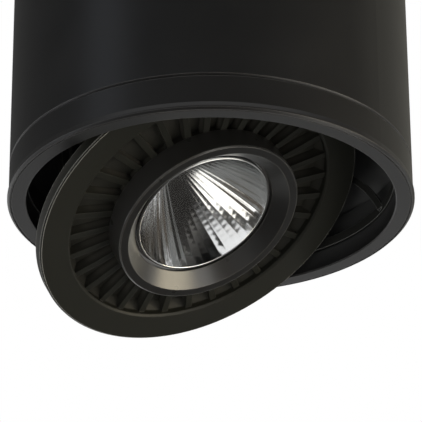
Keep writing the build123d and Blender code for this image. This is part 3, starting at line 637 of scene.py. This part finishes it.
# Edges paler: partly thinner paint, partly a painted highlight.
worn_and_highlit = add(tree, "ShaderNodeMix", {
    "Factor": paler_painted_light.outputs[0], 6: with_painted_fill.outputs[2], 7: linear("#625f57")}, data_type="RGBA")
relief = add(tree, "ShaderNodeBump", {
    "Strength": 0.08, "Distance": 0.02 * MM, "Height": marks.outputs[0], "Normal": edge})
end_material(tree, {"Base Color": worn_and_highlit.outputs[2], "Roughness": gloss.outputs[0], "IOR": 1.5,
                    "Coat Weight": 1.0, "Coat Roughness": 0.28, "Coat IOR": 1.5,
                    "Normal": relief.outputs[0], "Coat Normal": relief.outputs[0]})
print("bezel finish nodes:", len(tree.nodes))

# %% [markdown]
# Bright anodised aluminium. The mirror is almost clear, with a slight haze from the anodising that
# varies over a few millimetres, and a hint of warm grey where it is thicker.

# %% Mirror finish
mirror_finish, tree, place = start_material("bright_anodised_aluminium")
haze = add(tree, "ShaderNodeTexNoise", {"Vector": place, "Scale": 1 / (4 * MM), "Detail": 3.0})
shade = add(tree, "ShaderNodeMix", {
    "Factor": haze.outputs["Fac"], 6: linear("#dcdcda"), 7: linear("#eceef0")}, data_type="RGBA")
gloss = add(tree, "ShaderNodeMapRange", {"Value": haze.outputs["Fac"], "To Min": 0.05, "To Max": 0.13})
end_material(tree, {"Base Color": shade.outputs[2], "Roughness": gloss.outputs[0], "Metallic": 1.0})
fluted_mirror.data.materials.append(mirror_finish)
print("mirror finish on", fluted_mirror.name)

# %% [markdown]
# Bare metals. Zinc plate on pressed steel shows crystals a few millimetres wide, each with its own
# tone, so cells make its pattern. Screws are turned, springs are blued by heat and brass is
# machined: their marks are fine streaks, drawn by a noise that is stretched along one way.

# %% Bare metals
MARK_GLOSS_SPREAD = 0.08


def zinc_plate(name, pale, dark, crystal_mm):
    """Plated steel with crystals of that width."""
    material, tree, place = start_material(name)
    crystal = add(tree, "ShaderNodeTexVoronoi", {"Vector": place, "Scale": 1 / (crystal_mm * MM)})
    tint = add(tree, "ShaderNodeSeparateColor", {"Color": crystal.outputs["Color"]})
    shade = add(tree, "ShaderNodeMix", {"Factor": tint.outputs[0], 6: linear(dark), 7: linear(pale)},
                data_type="RGBA")
    gloss = add(tree, "ShaderNodeMapRange", {"Value": tint.outputs[1], "To Min": 0.3, "To Max": 0.5})
    end_material(tree, {"Base Color": shade.outputs[2], "Roughness": gloss.outputs[0], "Metallic": 1.0})
    return material


def worked_metal(name, pale, dark, roughness, mark_mm, stretch):
    """Metal with fine tool marks of that width, longer where stretch is below one."""
    material, tree, place = start_material(name)
    along = add(tree, "ShaderNodeVectorMath", {0: place, 1: stretch}, operation="MULTIPLY")
    mark = add(tree, "ShaderNodeTexNoise", {
        "Vector": along.outputs[0], "Scale": 1 / (mark_mm * MM), "Detail": 3.0})
    shade = add(tree, "ShaderNodeMix", {"Factor": mark.outputs["Fac"], 6: linear(dark), 7: linear(pale)},
                data_type="RGBA")
    gloss = add(tree, "ShaderNodeMapRange", {
        "Value": mark.outputs["Fac"],
        "To Min": roughness - MARK_GLOSS_SPREAD, "To Max": roughness + MARK_GLOSS_SPREAD})
    relief = add(tree, "ShaderNodeBump", {
        "Strength": 0.1, "Distance": 0.02 * MM, "Height": mark.outputs["Fac"]})
    end_material(tree, {"Base Color": shade.outputs[2], "Roughness": gloss.outputs[0], "Metallic": 1.0,
                        "Normal": relief.outputs[0]})
    return material


zinc = zinc_plate("zinc_plated_steel", "#c3c6c9", "#9da2a7", crystal_mm=3.0)
screw_steel = worked_metal("turned_screw_steel", "#c6c7c9", "#8f9093", roughness=0.3, mark_mm=0.3,
                           stretch=(1, 1, 0.2))
black_oxide = worked_metal("black_oxide_steel", "#2c2c2d", "#18181a", roughness=0.38, mark_mm=0.3,
                           stretch=(1, 1, 0.3))
blued = worked_metal("blued_spring_steel", "#5a5f6b", "#34363d", roughness=0.3, mark_mm=0.4,
                     stretch=(0.2, 1, 1))
brass = worked_metal("machined_brass", "#d8b971", "#b38f4c", roughness=0.28, mark_mm=0.3,
                     stretch=(0.3, 1, 1))
print("metals:", zinc.name, screw_steel.name, black_oxide.name, blued.name, brass.name)

# %% [markdown]
# Plastics and rubber. Moulded pieces copy the mould, which is spark eroded to a fine even grain, so
# they share one recipe: a grain of a real width that drives relief and gloss, and a slow change of
# tone where the plastic flowed. Rubber is the same with more relief and hardly any gloss.

# %% Plastics and rubber
FLOW_WIDTH = 12 * MM
GRAIN_GLOSS_SPREAD = 0.08


def moulded(name, pale, dark, roughness, grain_mm, relief_strength):
    """A moulded piece with an even grain of that width."""
    material, tree, place = start_material(name)
    grain = add(tree, "ShaderNodeTexNoise", {"Vector": place, "Scale": 1 / (grain_mm * MM), "Detail": 3.0})
    flow = add(tree, "ShaderNodeTexNoise", {"Vector": place, "Scale": 1 / FLOW_WIDTH, "Detail": 2.0})
    shade = add(tree, "ShaderNodeMix", {"Factor": flow.outputs["Fac"], 6: linear(dark), 7: linear(pale)},
                data_type="RGBA")
    gloss = add(tree, "ShaderNodeMapRange", {
        "Value": grain.outputs["Fac"],
        "To Min": roughness - GRAIN_GLOSS_SPREAD, "To Max": roughness + GRAIN_GLOSS_SPREAD})
    relief = add(tree, "ShaderNodeBump", {
        "Strength": relief_strength, "Distance": 0.05 * MM, "Height": grain.outputs["Fac"]})
    end_material(tree, {"Base Color": shade.outputs[2], "Roughness": gloss.outputs[0], "IOR": 1.5,
                        "Normal": relief.outputs[0]})
    return material


# After the two tones: roughness, width of the grain in mm and strength of the relief.
acetal = moulded("black_acetal", "#232323", "#1a1a1a", 0.35, 0.8, 0.05)
white_abs = moulded("spark_textured_white_abs", "#ecebe6", "#e0dfd9", 0.45, 0.4, 0.2)
polyamide = moulded("natural_polyamide", "#e2dfd3", "#d3cfc0", 0.4, 0.6, 0.1)
pbt = moulded("moulded_white_pbt", "#eae9e4", "#dedcd6", 0.4, 0.5, 0.1)
rubber = moulded("moulded_black_rubber", "#222222", "#191919", 0.65, 0.5, 0.25)
silicone_pad = moulded("grey_silicone_pad", "#969ba2", "#858a91", 0.6, 0.7, 0.15)
ceramic = moulded("fired_white_ceramic", "#f0efea", "#e4e3de", 0.35, 0.5, 0.05)
phosphor = moulded("phosphor_in_silicone", "#eccb52", "#dfb93c", 0.28, 0.35, 0.08)
print("plastics:", white_abs.name, polyamide.name, pbt.name, rubber.name)

# %% [markdown]
# The driver's circuit board is glass fibre under green lacquer. Its weave shows faintly, so two
# crossed waves of thread spacing vary the green; copper under the lacquer makes paler patches.

# %% Circuit board
# Real threads are about 0.5 mm apart; they are drawn 0.8 mm apart, so that they show.
THREADS = 0.8 * MM
# A wave texture of scale 1 repeats after this length.
WAVE_LENGTH = 0.314
COPPER_PATCH = 5 * MM

board_green, tree, place = start_material("lacquered_glass_fibre_board")
threads = {"Vector": place, "Scale": WAVE_LENGTH / THREADS}
warp = add(tree, "ShaderNodeTexWave", threads, bands_direction="X")
weft = add(tree, "ShaderNodeTexWave", threads, bands_direction="Y")
weave = add(tree, "ShaderNodeMath", {0: warp.outputs["Fac"], 1: weft.outputs["Fac"]}, operation="MULTIPLY")
copper = add(tree, "ShaderNodeTexVoronoi", {"Vector": place, "Scale": 1 / COPPER_PATCH},
             distance="CHEBYCHEV")
beside = add(tree, "ShaderNodeMapRange", {
    "Value": copper.outputs["Distance"], "From Min": 0.35, "From Max": 0.4})
ground = add(tree, "ShaderNodeMix", {
    "Factor": weave.outputs[0], 6: linear("#174b2c"), 7: linear("#1f5a37")}, data_type="RGBA")
shade = add(tree, "ShaderNodeMix", {
    "Factor": beside.outputs[0], 6: linear("#2f7547"), 7: ground.outputs[2]}, data_type="RGBA")
relief = add(tree, "ShaderNodeBump", {"Strength": 0.1, "Distance": 0.03 * MM, "Height": weave.outputs[0]})
end_material(tree, {"Base Color": shade.outputs[2], "Roughness": 0.3, "IOR": 1.5,
                    "Normal": relief.outputs[0]})
print("circuit board nodes:", len(tree.nodes))

# %% [markdown]
# Each CAD node now gets the finish of its real piece. Only the material slot changes: the solids
# stay exactly as they were made.

# %% Finishes on the CAD nodes
finish_of = {
    tube_coat: ["housing_tube"],
    trim_coat: ["trim_ring"],
    head_paint: ["heat_sink"],
    carrier_paint: ["swivel_carrier"],
    bezel_finish: ["bezel"],
    mirror_finish: ["reflector"],
    zinc: ["ceiling_plate", "side_brackets", "earth_screw"],
    screw_steel: ["driver_screws", "holder_screws", "clamp_screws", "stop_pin"],
    black_oxide: ["side_screws"],
    blued: ["retaining_ring", "clamp_plate_left", "clamp_plate_right"],
    brass: ["guide_shoe_left", "guide_shoe_right", "terminal_screws"],
    acetal: ["slip_washer"],
    white_abs: ["driver_case", "driver_lid"],
    board_green: ["driver_board"],
    polyamide: ["terminal_block"],
    rubber: ["cable_grommet", "lead_grommet"],
    silicone_pad: ["thermal_pad"],
    ceramic: ["led_board"],
    phosphor: ["led_phosphor"],
    pbt: ["led_holder"],
}
for material, nodes in finish_of.items():
    for node in nodes:
        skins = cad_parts[node].data.materials
        skins.clear()
        skins.append(material)
print("finished nodes:", sum(len(nodes) for nodes in finish_of.values()))
